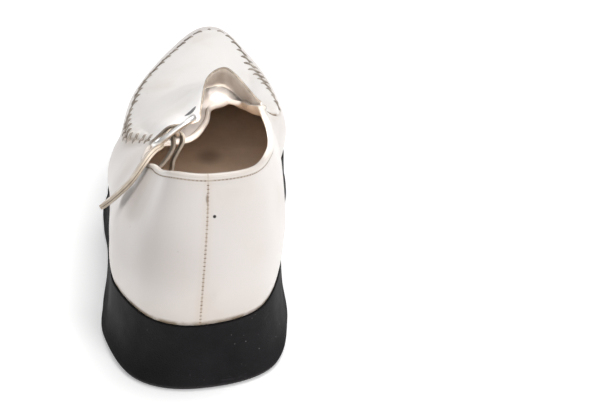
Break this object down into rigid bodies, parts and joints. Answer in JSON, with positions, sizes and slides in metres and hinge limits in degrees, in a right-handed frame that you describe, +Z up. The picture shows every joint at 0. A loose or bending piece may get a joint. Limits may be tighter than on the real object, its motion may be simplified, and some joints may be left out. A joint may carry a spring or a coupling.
{
  "type": "strap shoe (Mary Jane) with a stitched apron on a wedge sole, left shoe",
  "caption": "White leather strap shoe, left, with a pointed whip-stitched apron and a centre-bar buckle on a black one-piece wedge sole.",
  "frame": {"origin": "on the floor under the middle of the heel, on the flat tread", "axes": "+Y from heel to toe, +X to the inner (medial) side of this left foot, +Z up"},
  "size_m": [0.0829, 0.2652, 0.086],
  "materials": {
    "white_leather": "smooth, semi-gloss, worn",
    "lining": "worn, matte",
    "loop_leather": "worn, satin",
    "black_rubber": "matte, fine cells",
    "buckle_metal": "polished, worn"
  },
  "bodies": {
    "root": {"sole": "black_rubber", "insole": "lining", "upper": "white_leather", "apron": "white_leather", "buckle_loop": "loop_leather", "buckle": "buckle_metal"}
  },
  "joints": []
}
